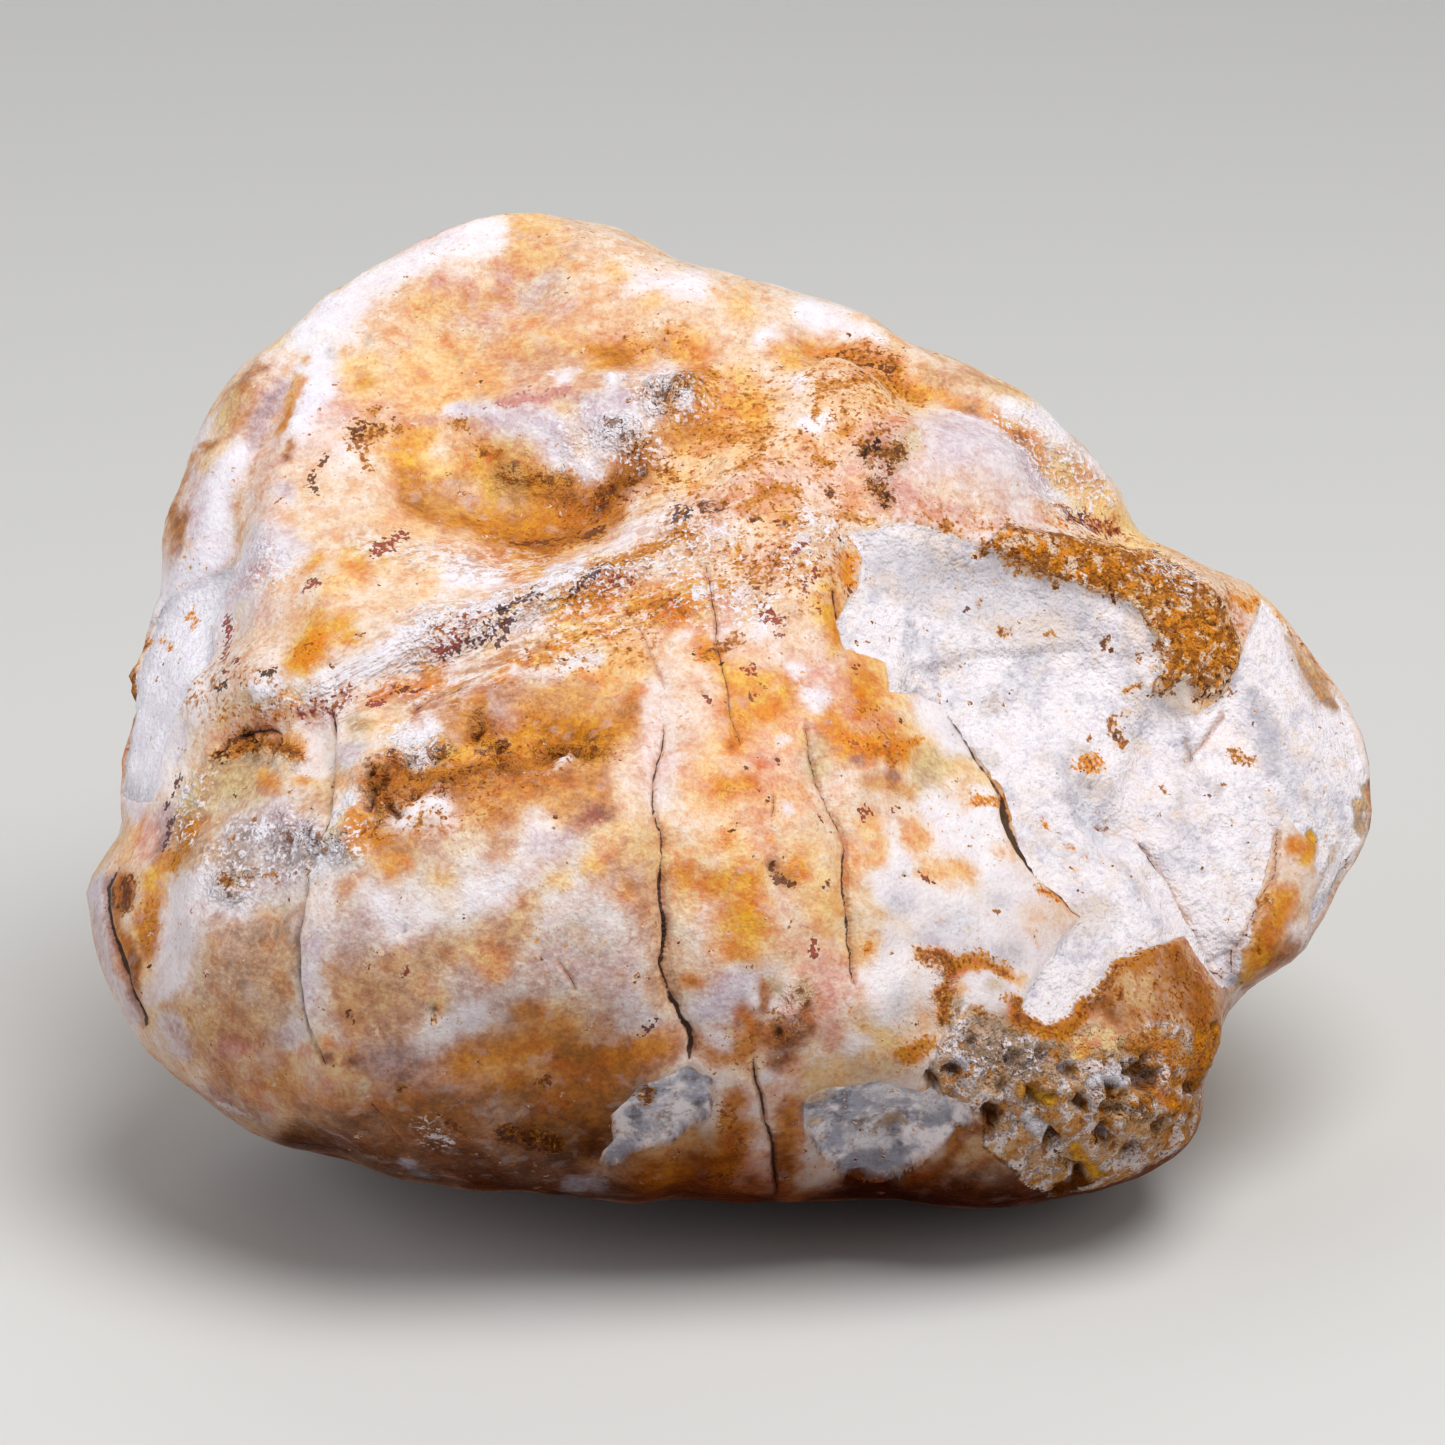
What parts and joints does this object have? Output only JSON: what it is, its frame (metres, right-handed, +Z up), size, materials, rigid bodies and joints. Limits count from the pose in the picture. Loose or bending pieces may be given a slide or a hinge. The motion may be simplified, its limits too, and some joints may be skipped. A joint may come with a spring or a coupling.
{
  "type": "rough chalcedony nodule",
  "caption": "Lopsided lobed nodule of rough chalcedony with an iron-stained waxy skin, a chalky broken face and fine cracks, lying on a small flat spot.",
  "frame": {"origin": "middle of the stone's footprint box, on the surface it rests on", "axes": "+X along the stone's longest side, towards its pointed white end; +Z up from the flat spot; the broad stained face looks towards -Y and up"},
  "size_m": [0.0642, 0.0478, 0.0431],
  "materials": {
    "chalcedony": "waxy to matte"
  },
  "bodies": {
    "root": {"nodule": "chalcedony"}
  },
  "joints": []
}
